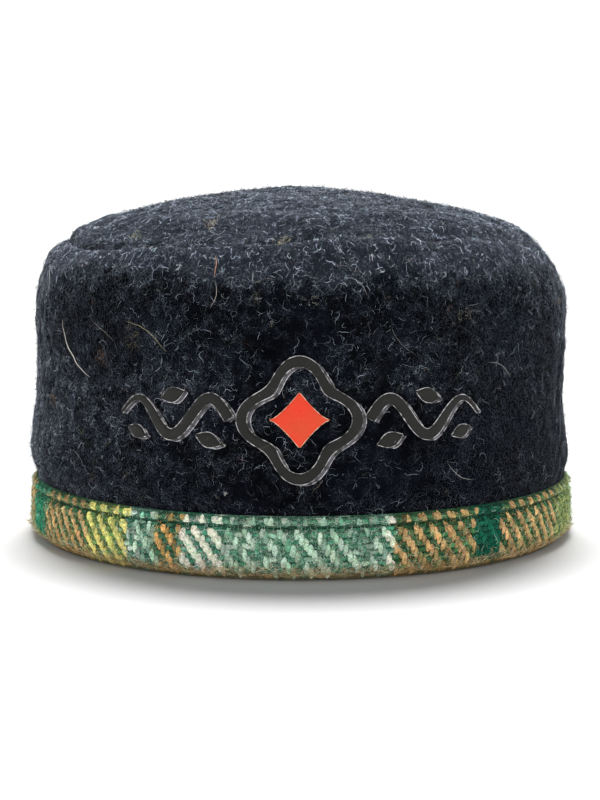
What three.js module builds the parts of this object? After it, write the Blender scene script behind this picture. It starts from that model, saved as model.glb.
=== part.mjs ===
// A topi: a brimless round cap of thick wool cloth, bound round its rim with a strip of checked tweed.
// Millimetres, +Z up. The rim stands on z = 0, the cap's front faces -Y and its middle is on the Z axis.
// The cap is oval, so a place on it is an azimuth (0 at the front, growing towards +X), an inset from
// the rim's outer oval and a height.
import * as THREE from 'three';

// Driving dimensions
const CAP_WIDTH = 186; // over the binding, from ear to ear
const CAP_DEPTH = 198; // over the binding, from front to back
const WOOL = 2.2; // thickness of the crown's cloth
const TWEED = 1.6; // thickness of the binding's cloth
const GAP = 0.3; // between neighbouring pieces
const SEAM_HEIGHT = 97; // the groove between side and top, away from the front
const SEAM_INSET = 13.5; // how far that groove lies inside the rim's outer oval
const SEAM_ALLOWANCE = 6.5; // the two cloths turned down together inside the crown
const FRONT_LIFT = 6; // how much higher the seam runs at the front
const DOME_HEIGHT = 14; // the top's swell above its own edge
const EDGE_RISE = 8; // the puffed edge of the top above the seam
const EDGE_REACH = 13; // and how far in it reaches
const SHOULDER_START = 76; // where the side starts to turn in
const ROLL_ABOVE_SEAM = 1.6; // the side's rolled shoulder stands this much above the groove
const ROLL_REACH = 1.5; // from the roll's highest line in to the groove
const HEM_HEIGHT = 2.9; // the side's raw edge, hidden in the binding
const BINDING_HEIGHT = 19.8; // the binding's outer leg
const BINDING_INNER_HEIGHT = 22; // its inner leg
const MOTIF_HEIGHT = 50; // the middle of the applied ornament
const MOTIF_THICKNESS = 0.8;
const STROKE = 3.4; // width of the ornament's strokes

const HALF_WIDTH = CAP_WIDTH / 2;
const HALF_DEPTH = CAP_DEPTH / 2;
const MEAN_TOP_RADIUS = (HALF_WIDTH + HALF_DEPTH) / 2 - SEAM_INSET;
const SEGMENTS = 72; // facets round the cap

// The side's outer face from the hem to the shoulder: how far it stands inside the rim's outer oval
const SIDE_STATIONS = [
  { name: 'hem', height: HEM_HEIGHT, inset: TWEED + GAP },
  { name: 'tuck', height: 19.4, inset: TWEED + GAP },
  { name: 'fullness', height: 27, inset: 0.5 },
  { name: 'waist', height: 52, inset: 1.9 },
  { name: 'chest', height: SHOULDER_START, inset: 1.6 },
];

// Soft hollows (push below 0) and swellings of the side, in degrees and millimetres
const SIDE_SPOTS = [
  { name: 'front left hollow', azimuth: -25, height: 64, spread: 34, tall: 13, push: -1.4 },
  { name: 'front left swelling', azimuth: -32, height: 36, spread: 30, tall: 11, push: 0.8 },
  { name: 'left swelling', azimuth: -90, height: 29, spread: 30, tall: 9, push: 0.9 },
  { name: 'left waist', azimuth: -84, height: 60, spread: 26, tall: 12, push: -0.5 },
  { name: 'right waist', azimuth: 92, height: 44, spread: 30, tall: 14, push: -0.6 },
  { name: 'front right swelling', azimuth: 38, height: 70, spread: 28, tall: 14, push: 0.7 },
  { name: 'back hollow', azimuth: 172, height: 58, spread: 44, tall: 18, push: -2.0 },
  { name: 'back left swelling', azimuth: -138, height: 40, spread: 30, tall: 16, push: 1.0 },
];

// Dents in the top (depth above 0) and swellings; share is 0 in the middle and 1 at the seam
const TOP_SPOTS = [
  { name: 'front left crease', azimuth: -38, share: 0.94, spread: 34, across: 0.07, depth: 2.2 },
  { name: 'front right fill', azimuth: 52, share: 0.97, spread: 34, across: 0.06, depth: -1.4 },
  { name: 'hollow behind the middle', azimuth: 165, share: 0.5, spread: 50, across: 0.24, depth: 1.6 },
  { name: 'left swelling', azimuth: -70, share: 0.62, spread: 34, across: 0.2, depth: -0.8 },
];

// The binding's section as a closed loop: up the outer face, down inside the outer leg, round the
// side's hem, up the inner leg and back down its inner face to the sole
const INNER_LEG_INSET = TWEED + GAP + WOOL + GAP;
const INNER_FACE_INSET = INNER_LEG_INSET + TWEED;
const BINDING_SECTION = [
  { name: 'sole, outer edge', inset: 2.7, height: 0 },
  { name: 'heel', inset: 1.2, height: 1.1 },
  { name: 'lower belly', inset: 0.3, height: 3.4 },
  { name: 'belly', inset: 0, height: 8 },
  { name: 'upper belly', inset: 0.1, height: 13.6 },
  { name: 'stitched groove, lower lip', inset: 0.5, height: 15.8 },
  { name: 'stitched groove', inset: 0.95, height: 16.6 },
  { name: 'ridge', inset: 0.35, height: 17.7 },
  { name: 'ridge, top', inset: 0.6, height: BINDING_HEIGHT - 0.7 },
  { name: 'outer leg, top edge', inset: 1.2, height: BINDING_HEIGHT },
  { name: 'outer leg, back', inset: TWEED, height: BINDING_HEIGHT - 0.4 },
  { name: 'hem pocket, outer corner', inset: TWEED, height: 2.8 },
  { name: 'hem pocket, outer floor', inset: TWEED + 0.8, height: 1.8 },
  { name: 'hem pocket, inner floor', inset: INNER_LEG_INSET - 0.8, height: 1.8 },
  { name: 'hem pocket, inner corner', inset: INNER_LEG_INSET, height: 2.8 },
  { name: 'inner leg, back', inset: INNER_LEG_INSET, height: BINDING_INNER_HEIGHT - 0.4 },
  { name: 'inner leg, top edge', inset: INNER_LEG_INSET + 0.6, height: BINDING_INNER_HEIGHT },
  { name: 'inner leg, front', inset: INNER_FACE_INSET, height: BINDING_INNER_HEIGHT - 0.7 },
  { name: 'inner leg, foot', inset: INNER_FACE_INSET, height: 3 },
  { name: 'inner heel', inset: INNER_FACE_INSET - 0.5, height: 1 },
  { name: 'sole, inner edge', inset: 4.6, height: 0 },
];

const degrees = THREE.MathUtils.degToRad;
const { lerp, smoothstep } = THREE.MathUtils;

// A soft bump: 1 at distance 0, fading to nothing at about two spreads
const bump = (distance, spread) => Math.exp(-((distance / spread) ** 2));

// The angle from one azimuth to another, the short way round
function turnBetween(azimuth, other) {
  const turn = azimuth - other;
  return Math.atan2(Math.sin(turn), Math.cos(turn));
}

// The unevenness of the cap's plan, the same at every height
const planSwell = (azimuth) => 0.8 * Math.cos(2 * azimuth - 0.7) + 0.6 * Math.cos(3 * azimuth + 0.9);

const frontLift = (azimuth) => FRONT_LIFT * bump(turnBetween(azimuth, degrees(12)), degrees(48));

function sidePush(azimuth, height) {
  const clearOfBinding = smoothstep(height, BINDING_HEIGHT, BINDING_HEIGHT + 8);
  const spots = SIDE_SPOTS.reduce((sum, spot) => {
    const turn = turnBetween(azimuth, degrees(spot.azimuth));
    return sum + spot.push * bump(turn, degrees(spot.spread)) * bump(height - spot.height, spot.tall);
  }, 0);
  return clearOfBinding * spots;
}

function topDent(azimuth, share) {
  return TOP_SPOTS.reduce((sum, spot) => {
    const turn = turnBetween(azimuth, degrees(spot.azimuth));
    const middleFade = smoothstep(share, 0, 0.3);
    return sum + middleFade * spot.depth * bump(turn, degrees(spot.spread)) * bump(share - spot.share, spot.across);
  }, 0);
}

// A point of the cap: share scales the oval down towards the axis, for the top
function placeOnCap(azimuth, { inset, height, share = 1 }) {
  const swell = planSwell(azimuth) - inset;
  return new THREE.Vector3(
    (HALF_WIDTH + swell) * share * Math.sin(azimuth),
    -(HALF_DEPTH + swell) * share * Math.cos(azimuth),
    height,
  );
}

// The side's outer face between the hem and the shoulder
function sideInset(azimuth, height) {
  const above = Math.max(1, SIDE_STATIONS.findIndex((station) => station.height >= height));
  const [low, high] = [SIDE_STATIONS[above - 1], SIDE_STATIONS[above]];
  const along = smoothstep(height, low.height, high.height);
  return lerp(low.inset, high.inset, along) - sidePush(azimuth, height);
}

// A solid swept round the cap. The section goes up on the outside and comes down on the inside. A
// lathe gives the faces, and each of its points is then moved to its own place on the uneven oval.
function sweepRoundCap(sectionAt) {
  const outline = sectionAt(0).map(({ inset, height, share = 1 }) => (
    new THREE.Vector2((HALF_WIDTH - inset) * share, height)
  ));
  const geometry = new THREE.LatheGeometry(outline, SEGMENTS);
  const position = geometry.getAttribute('position');
  for (let column = 0; column <= SEGMENTS; column += 1) {
    const azimuth = ((column % SEGMENTS) / SEGMENTS) * 2 * Math.PI;
    sectionAt(azimuth).forEach((place, row) => {
      const { x, y, z } = placeOnCap(azimuth, place);
      position.setXYZ(column * outline.length + row, x, y, z);
    });
  }
  geometry.deleteAttribute('uv');
  geometry.computeVertexNormals();
  return geometry;
}

const closed = (section) => [...section, section[0]];

// A quarter turn in equal steps, from its start to its end, both counted
const quarterTurn = (steps) => Array.from({ length: steps + 1 }, (_, i) => (i / steps) * (Math.PI / 2));

// The side: one upright strip of wool that rolls over at the shoulder and turns down into the seam
function sideSection(azimuth) {
  const seam = SEAM_HEIGHT + frontLift(azimuth);
  const rollInset = SEAM_INSET - ROLL_REACH;
  const rollHeight = seam + ROLL_ABOVE_SEAM;
  const chest = sideInset(azimuth, SHOULDER_START);

  const outerWall = [HEM_HEIGHT, 19.4, 22.6, 27, 35, 44, 54, 65, SHOULDER_START].map((height) => (
    { inset: sideInset(azimuth, height), height }
  ));
  const shoulder = quarterTurn(5).slice(1).map((turn) => ({
    inset: lerp(chest, rollInset, 1 - Math.cos(turn)),
    height: lerp(SHOULDER_START, rollHeight, Math.sin(turn)),
  }));
  const seamFace = [
    { inset: SEAM_INSET - 0.3, height: seam + ROLL_ABOVE_SEAM * 0.6 },
    { inset: SEAM_INSET, height: seam },
    { inset: SEAM_INSET, height: seam - SEAM_ALLOWANCE },
  ];

  const flange = SEAM_INSET - WOOL;
  const innerChest = chest + WOOL;
  const lastTurn = Math.acos(1 - (flange - innerChest) / (rollInset - innerChest));
  const underShoulder = [1, 0.66, 0.33].map((part) => ({
    inset: lerp(innerChest, rollInset, 1 - Math.cos(part * lastTurn)),
    height: lerp(SHOULDER_START, rollHeight - WOOL, Math.sin(part * lastTurn)),
  }));
  const innerWall = [SHOULDER_START, 54, 27, 19.4, HEM_HEIGHT].map((height) => (
    { inset: sideInset(azimuth, height) + WOOL, height }
  ));
  return closed([
    ...outerWall, ...shoulder, ...seamFace,
    { inset: flange, height: seam - SEAM_ALLOWANCE },
    ...underShoulder, ...innerWall,
  ]);
}

// The top's outer face at a share of the way out to the seam
function topHeight(azimuth, share, rise) {
  const swell = DOME_HEIGHT * (1 - share ** 1.7);
  const lift = frontLift(azimuth) * share ** 1.5;
  return SEAM_HEIGHT + lift + rise + swell - topDent(azimuth, share);
}

// The top: a round of wool, puffed at its edge and domed, its edge turned down into the seam
function topSection(azimuth) {
  const edge = SEAM_INSET + GAP;
  const foot = SEAM_HEIGHT + frontLift(azimuth) - SEAM_ALLOWANCE;
  const domeShares = [0.72, 0.58, 0.43, 0.28, 0.14, 0];
  const ring = (share, height) => ({ inset: edge, share, height });
  const shareAt = (distance) => 1 - distance / MEAN_TOP_RADIUS;

  const outerEdge = quarterTurn(5).map((turn) => {
    const share = shareAt(EDGE_REACH * (1 - Math.cos(turn)));
    return ring(share, topHeight(azimuth, share, EDGE_RISE * Math.sin(turn)));
  });
  const outerDome = domeShares.map((share) => ring(share, topHeight(azimuth, share, EDGE_RISE)));
  const innerEdge = quarterTurn(3).map((turn) => {
    const share = shareAt(lerp(WOOL, EDGE_REACH, 1 - Math.cos(turn)));
    return ring(share, topHeight(azimuth, share, (EDGE_RISE - WOOL) * Math.sin(turn)));
  });
  const innerDome = [0.6, 0.4, 0.2, 0].map((share) => (
    ring(share, topHeight(azimuth, share, EDGE_RISE - WOOL))
  ));
  return [
    ...innerDome.reverse(), ...innerEdge.reverse(),
    ring(shareAt(WOOL), foot),
    ring(1, foot),
    ...outerEdge, ...outerDome,
  ];
}

// A thin plate applied to the side. It is a strip of stations, each a pair of [along, height] points:
// along is the distance round the side from the front's middle. An endless strip is a ring.
function plateOnSide(stations, endless = false) {
  const placed = (along, height, standOff) => {
    const azimuth = along / HALF_WIDTH;
    return placeOnCap(azimuth, { inset: sideInset(azimuth, height) - standOff, height });
  };
  const corners = stations.flatMap(([near, far]) => [
    placed(...near, GAP + MOTIF_THICKNESS),
    placed(...far, GAP + MOTIF_THICKNESS),
    placed(...far, GAP),
    placed(...near, GAP),
  ]);
  const faces = [];
  const quad = (a, b, c, d) => faces.push(a, b, c, a, c, d);
  const spans = endless ? stations.length : stations.length - 1;
  for (let span = 0; span < spans; span += 1) {
    const here = span * 4;
    const next = ((span + 1) % stations.length) * 4;
    for (let side = 0; side < 4; side += 1) {
      const turn = (side + 1) % 4;
      quad(here + side, here + turn, next + turn, next + side);
    }
  }
  if (!endless) {
    const last = (stations.length - 1) * 4;
    quad(3, 2, 1, 0);
    quad(last, last + 1, last + 2, last + 3);
  }
  const geometry = new THREE.BufferGeometry().setFromPoints(corners);
  geometry.setIndex(faces);
  geometry.computeVertexNormals();
  return geometry;
}

// The ornament's pieces, as strips about its middle
const QUATREFOIL = { radius: 15.5, lobe: 2.6, steps: 44 };
const DIAMOND = { halfWidth: 9.2, halfHeight: 8.6, steps: 10, hollow: 1.35 };
const VINE = { start: 22, end: 61, wave: 26, swing: 6.4, steps: 30, tipShare: 0.35 };
const LEAVES = [
  { name: 'inner', along: 28.5, rise: -6.6, lean: 18, length: 9, width: 4.6 },
  { name: 'middle', along: 41.5, rise: 6.6, lean: -18, length: 9, width: 4.6 },
  { name: 'outer', along: 54, rise: -5.4, lean: 18, length: 8, width: 4.0 },
];
const TIP = 0.25; // half width of a pointed piece's blunted end

function quatrefoilStations() {
  return Array.from({ length: QUATREFOIL.steps }, (_, i) => {
    const turn = -(i / QUATREFOIL.steps) * 2 * Math.PI;
    const radius = QUATREFOIL.radius + QUATREFOIL.lobe * Math.cos(4 * turn);
    const at = (r) => [r * Math.cos(turn), MOTIF_HEIGHT + r * Math.sin(turn)];
    return [at(radius + STROKE / 2), at(radius - STROKE / 2)];
  });
}

// A diamond with hollow sides, in upright slices
function diamondStations() {
  const { halfWidth, halfHeight, steps, hollow } = DIAMOND;
  return Array.from({ length: steps + 1 }, (_, i) => {
    const across = (i / steps) * 2 - 1;
    const half = Math.max(TIP, halfHeight * (1 - Math.abs(across)) ** hollow);
    return [[across * halfWidth, MOTIF_HEIGHT + half], [across * halfWidth, MOTIF_HEIGHT - half]];
  });
}

// A waving stem that runs out from the middle to one hand, thinning to its tip
function vineStations(hand) {
  const { start, end, wave, swing, steps, tipShare } = VINE;
  return Array.from({ length: steps + 1 }, (_, i) => {
    const part = i / steps;
    const along = lerp(start, end, part);
    const turn = ((along - start) / wave) * 2 * Math.PI;
    const fade = lerp(1, 0.75, part);
    const slope = (swing * fade * 2 * Math.PI * Math.cos(turn)) / wave;
    const half = (STROKE / 2) * lerp(1, tipShare, smoothstep(part, 0.55, 1));
    const middle = MOTIF_HEIGHT + swing * fade * Math.sin(turn);
    const lean = Math.hypot(1, slope);
    const upper = [hand * (along - (slope / lean) * half), middle + half / lean];
    const lower = [hand * (along + (slope / lean) * half), middle - half / lean];
    return hand > 0 ? [upper, lower] : [lower, upper];
  });
}

function leafStations(leaf, hand) {
  const steps = 8;
  const lean = degrees(leaf.lean);
  return Array.from({ length: steps + 1 }, (_, i) => {
    const part = i / steps;
    const out = (part - 0.5) * leaf.length;
    const half = Math.max(TIP, (leaf.width / 2) * Math.sin(Math.PI * part));
    const at = (off) => [
      hand * (leaf.along + out * Math.cos(lean) - off * Math.sin(lean)),
      MOTIF_HEIGHT + leaf.rise + out * Math.sin(lean) + off * Math.cos(lean),
    ];
    return hand > 0 ? [at(half), at(-half)] : [at(-half), at(half)];
  });
}

const clothMaterial = (color, roughness) => new THREE.MeshStandardMaterial({ color, roughness, metalness: 0 });
const wool = clothMaterial(0x1c2029, 0.95);
const tweed = clothMaterial(0x4f7a52, 0.95);
const blackApplique = clothMaterial(0x1d1d1a, 0.45);
const orangeApplique = clothMaterial(0xe2492a, 0.6);

const topi = new THREE.Group();
topi.name = 'topi';

function add(parent, name, geometry, material) {
  const mesh = new THREE.Mesh(geometry, material);
  mesh.name = name;
  parent.add(mesh);
}

add(topi, 'crown_side', sweepRoundCap(sideSection), wool);
add(topi, 'crown_top', sweepRoundCap(topSection), wool);
add(topi, 'rim_binding', sweepRoundCap(() => closed(BINDING_SECTION)), tweed);

const ornament = new THREE.Group();
topi.add(ornament);
add(ornament, 'motif_ring', plateOnSide(quatrefoilStations(), true), blackApplique);
add(ornament, 'motif_diamond', plateOnSide(diamondStations()), orangeApplique);
[['left', -1], ['right', 1]].forEach(([side, hand]) => {
  add(ornament, `motif_vine_${side}`, plateOnSide(vineStations(hand)), blackApplique);
  LEAVES.forEach((leaf) => {
    add(ornament, `motif_leaf_${side}_${leaf.name}`, plateOnSide(leafStations(leaf, hand)), blackApplique);
  });
});

export default topi;
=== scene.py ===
"""A topi: a round cap of thick felted wool, bound round its rim with checked tweed and trimmed in front
with an applied ornament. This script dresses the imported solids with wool, yarns and fibres.

Lengths are in millimetres until a mesh is made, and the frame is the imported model's: +Z up, the front
towards -Y. A place on the cap is an azimuth (0 at the front, growing towards +X), an inset from the
rim's outer oval and a height.
"""
import math
from itertools import product

import bmesh
import bpy
import numpy as np
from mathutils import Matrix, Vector


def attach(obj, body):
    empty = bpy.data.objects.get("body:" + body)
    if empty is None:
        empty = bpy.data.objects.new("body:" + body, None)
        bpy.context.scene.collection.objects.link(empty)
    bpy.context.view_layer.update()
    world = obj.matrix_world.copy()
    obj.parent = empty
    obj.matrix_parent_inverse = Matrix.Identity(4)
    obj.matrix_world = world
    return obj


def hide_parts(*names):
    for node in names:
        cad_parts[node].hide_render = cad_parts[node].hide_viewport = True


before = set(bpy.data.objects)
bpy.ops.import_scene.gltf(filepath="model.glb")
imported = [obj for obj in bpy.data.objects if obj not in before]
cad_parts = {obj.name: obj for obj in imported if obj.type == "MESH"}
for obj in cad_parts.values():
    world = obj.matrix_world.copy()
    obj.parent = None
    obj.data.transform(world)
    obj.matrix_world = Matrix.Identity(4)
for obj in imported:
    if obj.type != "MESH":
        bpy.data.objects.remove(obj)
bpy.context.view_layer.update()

MM = 0.001
TURN = 2 * math.pi

# The cap's own sizes, as its solids have them
HALF_WIDTH = 93.0
HALF_DEPTH = 99.0
WOOL = 2.2
TWEED = 1.6
GAP = 0.3
SEAM_HEIGHT = 97.0
SEAM_INSET = 13.5
SEAM_ALLOWANCE = 6.5
FRONT_LIFT = 6.0
DOME_HEIGHT = 14.0
EDGE_RISE = 8.0
EDGE_REACH = 13.0
SHOULDER_START = 76.0
ROLL_ABOVE_SEAM = 1.6
ROLL_REACH = 1.5
HEM_HEIGHT = 2.9
BINDING_HEIGHT = 19.8
MOTIF_HEIGHT = 50.0
MOTIF_THICKNESS = 0.8
STROKE = 3.4
MEAN_TOP_RADIUS = (HALF_WIDTH + HALF_DEPTH) / 2 - SEAM_INSET
CIRCUMFERENCE = TURN * HALF_WIDTH  # distances round the cap are counted on a circle of this length

SIDE_STATIONS = [  # heights on the side's outer face and their insets
    (HEM_HEIGHT, TWEED + GAP),
    (19.4, TWEED + GAP),
    (27, 0.5),
    (52, 1.9),
    (SHOULDER_START, 1.6),
]

# A spot has the azimuth of its middle and its spread, both in degrees, the height of its middle, how
# tall it is, and its gain. On the top, shares of the way out from the middle stand for heights.
SIDE_SPOTS = [  # the gain pushes the side out
    (-25, 34, 64, 13, -1.4),
    (-32, 30, 36, 11, 0.8),
    (-90, 30, 29, 9, 0.9),
    (-84, 26, 60, 12, -0.5),
    (92, 30, 44, 14, -0.6),
    (38, 28, 70, 14, 0.7),
    (172, 44, 58, 18, -2.0),
    (-138, 30, 40, 16, 1.0),
]
TOP_SPOTS = [  # the gain presses the top down
    (-38, 34, 0.94, 0.07, 2.2),
    (52, 34, 0.97, 0.06, -1.4),
    (165, 50, 0.5, 0.24, 1.6),
    (-70, 34, 0.62, 0.2, -0.8),
]
NAP_SPOTS = [  # the gain lets the cloth with its nap stand further out than the solids
    (-88, 34, 50, 26, 0.8),
    (80, 44, 97, 10, -1.9),
    (140, 60, 97, 10, -0.8),
]
NAP_AND_LIGHT_PATCHES = [  # the gain makes the nap paler: partly the nap's own unevenness, mostly painted light and shade, with a paler lit ridge and left side and a darker right side and front
    (5, 52, 78, 12, -0.22),
    (8, 48, 32, 11, -0.10),
    (-34, 20, 54, 13, 0.22),
    (-55, 16, 72, 14, -0.25),
    (-70, 30, 42, 30, 0.42),
    (64, 36, 36, 26, -0.42),
    (0, 100, 98, 6, 0.9),
    (180, 60, 60, 25, -0.10),
]


# Shapes

def lerp(low, high, part):
    return low + (high - low) * part


def smooth(value, low, high):
    part = np.clip((value - low) / (high - low), 0, 1)
    return part * part * (3 - 2 * part)


def bump(distance, spread):
    return np.exp(-((distance / spread) ** 2))


def unit(vectors):
    return vectors / np.maximum(np.linalg.norm(vectors, axis=-1, keepdims=True), 1e-9)


def turn_between(azimuth, degrees):
    turn = azimuth - math.radians(degrees)
    return np.arctan2(np.sin(turn), np.cos(turn))


def spotted(spots, azimuth, height):
    """The sum of the spots' gains at a place, each fading out from its middle."""
    total = 0.0
    for middle, spread, at_height, tall, gain in spots:
        round_cap = bump(turn_between(azimuth, middle), math.radians(spread))
        total = total + gain * round_cap * bump(height - at_height, tall)
    return total


def plan_swell(azimuth):
    return 0.8 * np.cos(2 * azimuth - 0.7) + 0.6 * np.cos(3 * azimuth + 0.9)


def front_lift(azimuth):
    return FRONT_LIFT * bump(turn_between(azimuth, 12), math.radians(48))


def side_inset(azimuth, height):
    """How far the side's outer face stands inside the rim's oval, between the hem and the shoulder."""
    inset = SIDE_STATIONS[0][1]
    for (low, low_inset), (high, high_inset) in zip(SIDE_STATIONS, SIDE_STATIONS[1:]):
        inset = np.where(height >= low, lerp(low_inset, high_inset, smooth(height, low, high)), inset)
    above_binding = smooth(height, BINDING_HEIGHT, BINDING_HEIGHT + 8)
    return inset - spotted(SIDE_SPOTS, azimuth, height) * above_binding


def top_height(azimuth, share, rise):
    dent = spotted(TOP_SPOTS, azimuth, share) * smooth(share, 0, 0.3)
    swell = DOME_HEIGHT * (1 - share ** 1.7)
    return SEAM_HEIGHT + front_lift(azimuth) * share ** 1.5 + rise + swell - dent


def place(azimuth, inset, height, share=1.0):
    swell = plan_swell(azimuth) - inset
    x = (HALF_WIDTH + swell) * share * np.sin(azimuth)
    y = -(HALF_DEPTH + swell) * share * np.cos(azimuth)
    return np.stack(np.broadcast_arrays(x, y, height), axis=-1)


def noise(points, size, seed):
    """Smooth random lumps about size across, from -1 to 1."""
    table = np.random.default_rng(seed).uniform(-1, 1, 4096)
    where = points / size
    cell = np.floor(where).astype(np.int64)
    part = where - cell
    part = part * part * (3 - 2 * part)
    total = np.zeros(points.shape[:-1])
    for corner in product((0, 1), repeat=3):
        at = cell + np.array(corner)
        key = at[..., 0] * 73856093 ^ at[..., 1] * 19349663 ^ at[..., 2] * 83492791
        total += np.prod(np.where(corner, part, 1 - part), axis=-1) * table[key & 4095]
    return total


# Meshes

def reach_along(line):
    """How far along a line each of its points lies."""
    return np.append(0, np.cumsum(np.linalg.norm(np.diff(line, axis=0), axis=1)))


def cut_evenly(line, count, endpoint=True):
    """A line of points, cut again into evenly spaced ones."""
    reach = reach_along(line)
    wanted = np.linspace(0, reach[-1], count, endpoint=endpoint)
    return np.stack([np.interp(wanted, reach, values) for values in line.T], axis=1)


def grid_normals(points):
    """Unit normals of a grid that goes round the cap, facing out."""
    round_cap = np.roll(points, -1, axis=0) - np.roll(points, 1, axis=0)
    return unit(np.cross(round_cap, np.gradient(points, axis=1)))


def grid_triangles(columns, rows, endless=True):
    """Triangles of a grid whose last row meets its first, as the last column of an endless grid does."""
    column = np.arange(columns if endless else columns - 1)[:, None]
    row = np.arange(rows)[None, :]
    next_column, next_row = (column + 1) % columns, (row + 1) % rows
    corners = [column * rows + row, next_column * rows + row,
               next_column * rows + next_row, column * rows + next_row]
    quads = np.stack(corners, axis=-1).reshape(-1, 4)
    return np.concatenate([quads[:, [0, 1, 2]], quads[:, [0, 2, 3]]])


def fan(ring, tip, flipped=False):
    """Triangles that close a ring of vertices with one more vertex."""
    sides = [ring, np.roll(ring, -1)]
    return np.stack((sides[::-1] if flipped else sides) + [np.full(len(ring), tip)], axis=1)


def bar_triangles(stations, rows):
    """Triangles of a bar made of rings, whose ends are closed with two more vertices."""
    ring, count = np.arange(rows), stations * rows
    return np.concatenate([grid_triangles(stations, rows, endless=False), fan(ring, count),
                           fan(ring + count - rows, count + 1, flipped=True)])


def bar(grid, endless):
    """The points and triangles of a bar made of rings, which meets itself or is closed at both ends."""
    points = grid.reshape(-1, 3)
    if endless:
        return points, grid_triangles(*grid.shape[:2])
    return np.concatenate([points, grid[[0, -1]].mean(axis=1)]), bar_triangles(*grid.shape[:2])


def put_in_scene(name, data, towards=None):
    """An object of a mesh, a camera or a light, which may look or shine towards a direction."""
    item = bpy.data.objects.new(name, data)
    if towards:
        item.rotation_mode = "QUATERNION"
        item.rotation_quaternion = Vector(towards).to_track_quat("-Z", "Y")
    bpy.context.scene.collection.objects.link(item)
    return item


def make_piece(name, points, triangles, material, colours=None, replaced=None):
    """A mesh object from points in millimetres. It rides on the cap, and may replace a solid."""
    mesh = bpy.data.meshes.new(name)
    mesh.vertices.add(len(points))
    mesh.vertices.foreach_set("co", (points * MM).astype(np.float32).ravel())
    corners = np.ascontiguousarray(triangles, dtype=np.int32)
    mesh.loops.add(corners.size)
    mesh.loops.foreach_set("vertex_index", corners.ravel())
    mesh.polygons.add(len(corners))
    mesh.polygons.foreach_set("loop_start", np.arange(0, corners.size, 3, dtype=np.int32))
    mesh.update(calc_edges=True)
    mesh.validate()
    mesh.shade_smooth()
    if colours is not None:
        layer = mesh.color_attributes.new("yarn", "FLOAT_COLOR", "POINT")
        layer.data.foreach_set("color", colours.astype(np.float32).ravel())
    mesh.materials.append(material)
    piece = put_in_scene(name, mesh)
    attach(piece, "root")
    if replaced:
        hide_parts(replaced)
    return piece


# Materials. A value is a number, a colour or another node's output.

def new_material(name):
    material = bpy.data.materials.new(name)
    material.use_nodes = True
    return material, material.node_tree


def fill(tree, socket, value):
    if isinstance(value, bpy.types.NodeSocket):
        tree.links.new(value, socket)
    else:
        socket.default_value = value


def node(tree, kind, inputs=None, **settings):
    made = tree.nodes.new("ShaderNode" + kind)
    for name, value in settings.items():
        setattr(made, name, value)
    for name, value in (inputs or {}).items():
        fill(tree, made.inputs[name], value)
    return made


def mix(tree, share, first, second, blend="MIX"):
    return node(tree, "Mix", {0: share, 6: first, 7: second}, data_type="RGBA", blend_type=blend).outputs[2]


def math_node(tree, operation, *values):
    return node(tree, "Math", dict(enumerate(values)), operation=operation).outputs[0]


def times(tree, first, second):
    return math_node(tree, "MULTIPLY", first, second)


def weighted(tree, *terms):
    """The sum of values, each times its weight."""
    total = 0.0
    for value, weight in terms:
        total = math_node(tree, "MULTIPLY_ADD", value, weight, total)
    return total


def ramp(tree, value, low, high, to_low=0.0, to_high=1.0):
    inputs = {"Value": value, "From Min": low, "From Max": high, "To Min": to_low, "To Max": to_high}
    return node(tree, "MapRange", inputs, interpolation_type="SMOOTHSTEP").outputs["Result"]


def object_place(tree, offset=(0, 0, 0)):
    coordinates = node(tree, "TexCoord").outputs["Object"]
    return node(tree, "Mapping", {"Vector": coordinates, "Location": offset}).outputs["Vector"]


def noise_value(tree, where, per_metre, detail=2.0, distortion=0.0):
    inputs = {"Vector": where, "Scale": per_metre, "Detail": detail, "Distortion": distortion}
    return node(tree, "TexNoise", inputs).outputs["Fac"]


def curly_lines(tree, per_metre, width, offset):
    """Fine curling lines, as of fibres lying on a felt: the level lines of a noise."""
    value = noise_value(tree, object_place(tree, offset), per_metre, detail=1.0, distortion=0.6)
    distance = math_node(tree, "ABSOLUTE", math_node(tree, "SUBTRACT", value, 0.5))
    return ramp(tree, distance, 0.0, width, 1.0, 0.0)


def finished(material, colour, relief, **values):
    """The material with its colour, the shader's values and its relief: a height, a strength and a depth."""
    tree = material.node_tree
    shader = tree.nodes["Principled BSDF"]
    fill(tree, shader.inputs["Base Color"], colour)
    for name, value in values.items():
        fill(tree, shader.inputs[name.replace("_", " ")], value)
    if relief:
        made = node(tree, "Bump", dict(zip(("Height", "Strength", "Distance"), relief)))
        fill(tree, shader.inputs["Normal"], made.outputs["Normal"])
    return material


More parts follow.
